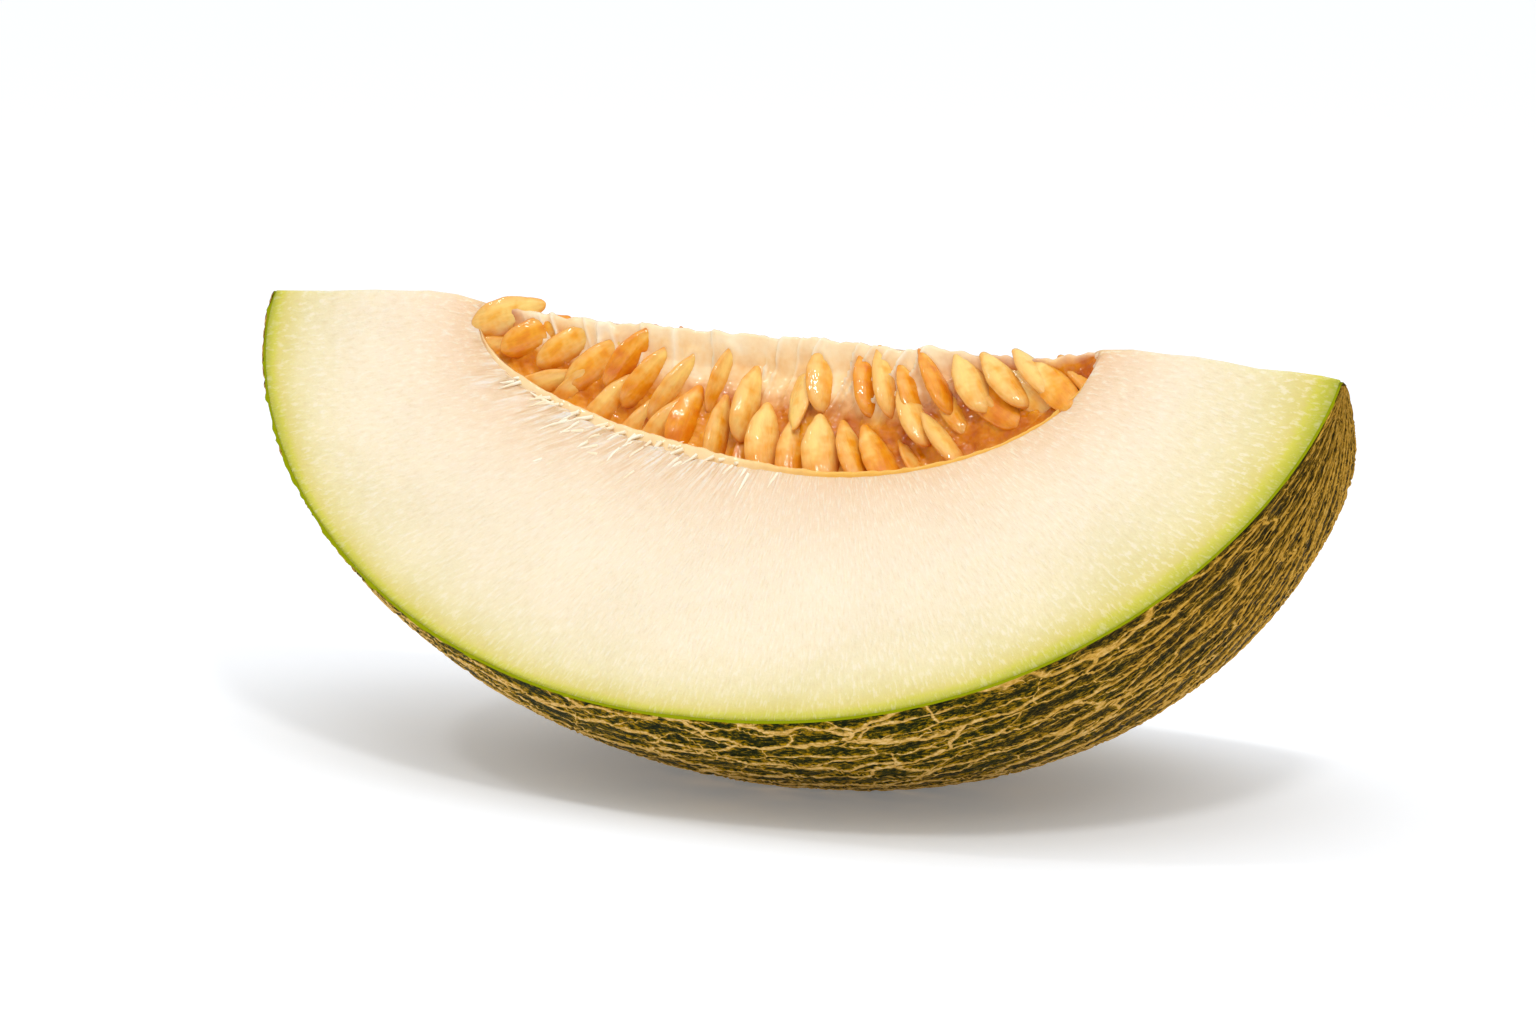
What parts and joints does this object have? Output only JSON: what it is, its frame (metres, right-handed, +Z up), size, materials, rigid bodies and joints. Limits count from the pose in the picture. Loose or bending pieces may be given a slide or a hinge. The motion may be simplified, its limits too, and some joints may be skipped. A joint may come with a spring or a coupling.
{
  "type": "melon wedge",
  "caption": "Lengthwise wedge of a netted green-skinned melon with pale flesh and loose seeds in its open cavity, resting on its rind.",
  "frame": {"origin": "on the floor, below the middle of the wedge's bounding box", "axes": "+X along the melon's own axis from the slimmer stem end to the fuller blossom end, -Y towards the front cut, +Z up"},
  "size_m": [0.22, 0.1078, 0.0825],
  "materials": {
    "flesh": "moist pale fruit flesh, cream near the cavity and green under the skin",
    "rind": "dark green skin under a raised tan cork net",
    "pulp": "wet translucent fibrous pulp",
    "seed": "wet golden-orange seed coat"
  },
  "bodies": {
    "root": {"melon_wedge": "flesh", "seed_back_1": "seed", "seed_back_2": "seed", "seed_back_3": "seed", "seed_back_4": "seed", "seed_back_5": "seed", "seed_back_6": "seed", "seed_back_7": "seed", "seed_back_8": "seed", "seed_back_9": "seed", "seed_back_10": "seed", "seed_back_11": "seed", "seed_back_12": "seed", "seed_back_13": "seed", "seed_back_14": "seed", "seed_back_15": "seed", "seed_back_16": "seed", "seed_front_1": "seed", "seed_front_2": "seed", "seed_front_3": "seed", "seed_front_4": "seed", "seed_front_5": "seed", "seed_front_6": "seed", "seed_front_7": "seed", "seed_front_8": "seed", "seed_front_9": "seed", "seed_front_10": "seed", "seed_front_11": "seed", "seed_front_12": "seed", "seed_front_13": "seed", "seed_front_14": "seed", "seed_front_15": "seed", "seed_front_16": "seed", "seed_front_17": "seed", "seed_front_18": "seed", "seed_front_19": "seed", "seed_front_20": "seed", "seed_front_21": "seed", "seed_front_22": "seed", "seed_front_23": "seed", "seed_front_24": "seed", "seed_front_25": "seed", "seed_front_26": "seed", "seed_front_27": "seed", "seed_front_28": "seed", "seed_front_29": "seed", "seed_front_30": "seed", "seed_front_31": "seed", "seed_front_32": "seed", "seed_front_33": "seed", "seed_front_34": "seed", "seed_front_35": "seed", "seed_front_36": "seed", "seed_front_37": "seed", "seed_front_38": "seed", "seed_front_39": "seed", "seed_front_40": "seed", "seed_front_41": "seed", "seed_front_42": "seed"}
  },
  "joints": []
}
